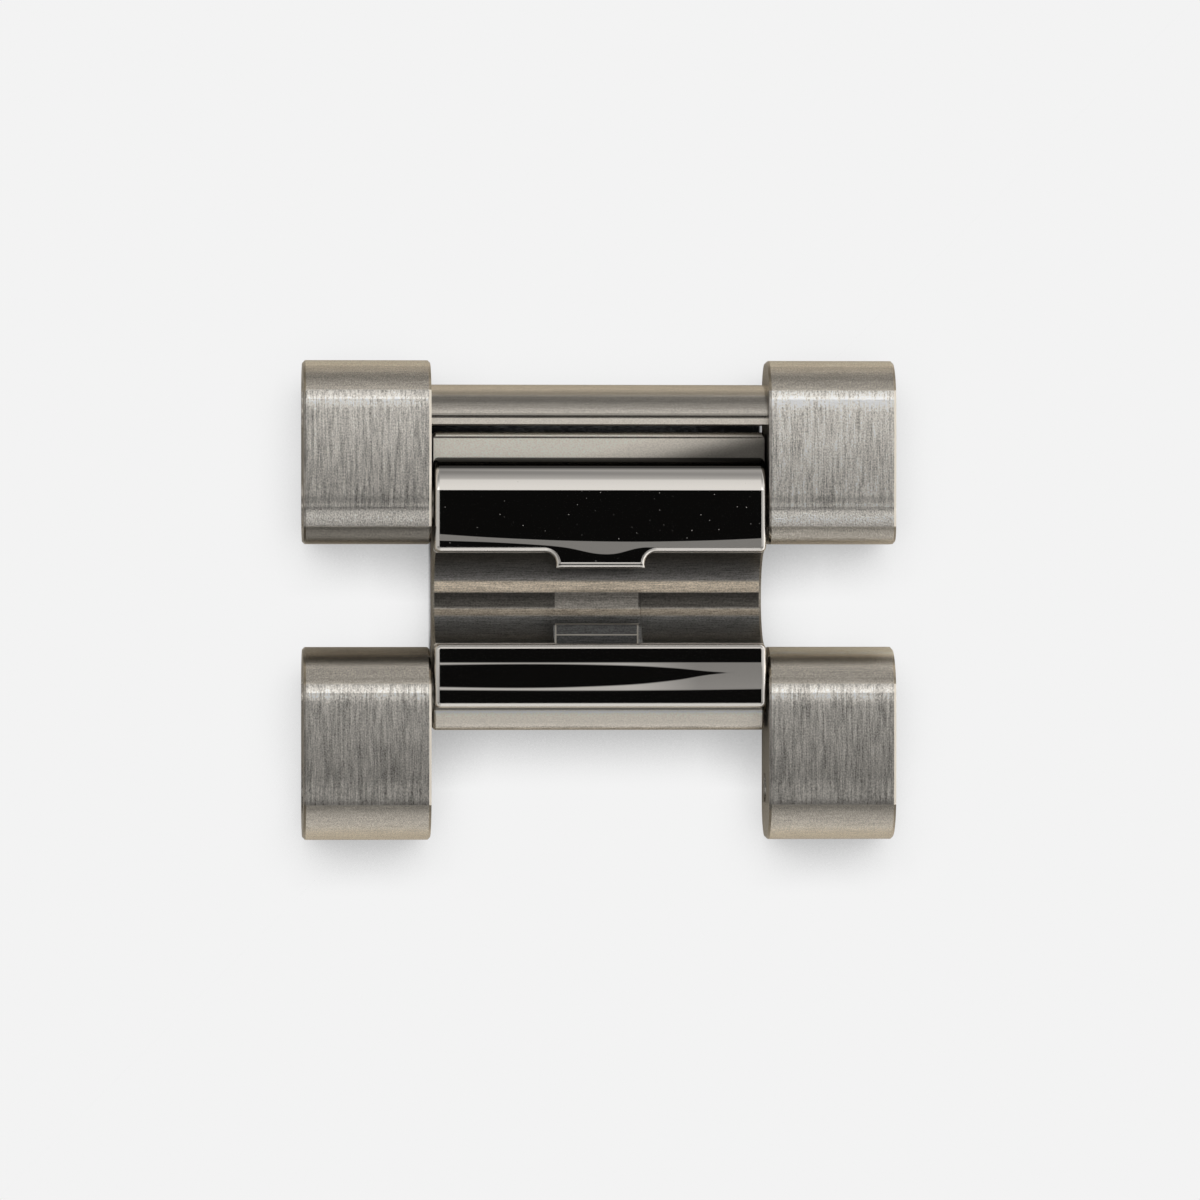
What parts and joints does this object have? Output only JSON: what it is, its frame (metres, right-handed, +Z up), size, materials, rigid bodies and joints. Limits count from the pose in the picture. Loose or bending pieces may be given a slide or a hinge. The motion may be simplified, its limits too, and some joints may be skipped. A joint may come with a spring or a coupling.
{
  "type": "watch bracelet link",
  "caption": "Hinged steel watch bracelet section: brushed outer links on screwed tubes either side of a centre link with mirror-polished bars and a round cross-bar seat.",
  "frame": {"origin": "middle of the section on the wrist side, on the plane that it lies on", "axes": "+X across the bracelet, +Y along it towards the cross bar, +Z up to the polished side"},
  "size_m": [0.02, 0.0162, 0.0032],
  "materials": {
    "outer_steel": "crown brushed lengthwise, noses satin, side edges polished",
    "centre_steel": "satin ledges, round seat brushed across the bracelet",
    "bar_steel": "mirror polished stainless steel",
    "cross_bar_steel": "satin, brushed across the bracelet",
    "pin_steel": "turned and lightly polished",
    "screw_steel": "turned, with a cut slot"
  },
  "bodies": {
    "centre_link": {"centre_link_body": "centre_steel", "upper_polished_bar": "bar_steel", "lower_polished_bar": "bar_steel", "upper_bar_dowel_left": "pin_steel", "upper_bar_dowel_right": "pin_steel", "lower_bar_dowel_left": "pin_steel", "lower_bar_dowel_right": "pin_steel"},
    "upper_row": {"upper_left_outer_link": "outer_steel", "upper_right_outer_link": "outer_steel", "upper_cross_bar": "cross_bar_steel", "upper_hinge_tube": "pin_steel", "cross_bar_screw_left": "screw_steel", "cross_bar_screw_right": "screw_steel", "upper_hinge_screw_left": "screw_steel", "upper_hinge_screw_right": "screw_steel"},
    "lower_row": {"lower_left_outer_link": "outer_steel", "lower_right_outer_link": "outer_steel", "lower_hinge_tube": "pin_steel", "lower_hinge_screw_left": "screw_steel", "lower_hinge_screw_right": "screw_steel"}
  },
  "joints": [
    {"name": "upper_row_hinge", "type": "hinge", "parent": "centre_link", "child": "upper_row", "pos_m": [0, 0.00329, 0.00135], "axis": [-1, 0, 0], "range_deg": [-30, 90]},
    {"name": "lower_row_hinge", "type": "hinge", "parent": "centre_link", "child": "lower_row", "pos_m": [0, -0.00315, 0.00135], "axis": [1, 0, 0], "range_deg": [-30, 90]}
  ]
}
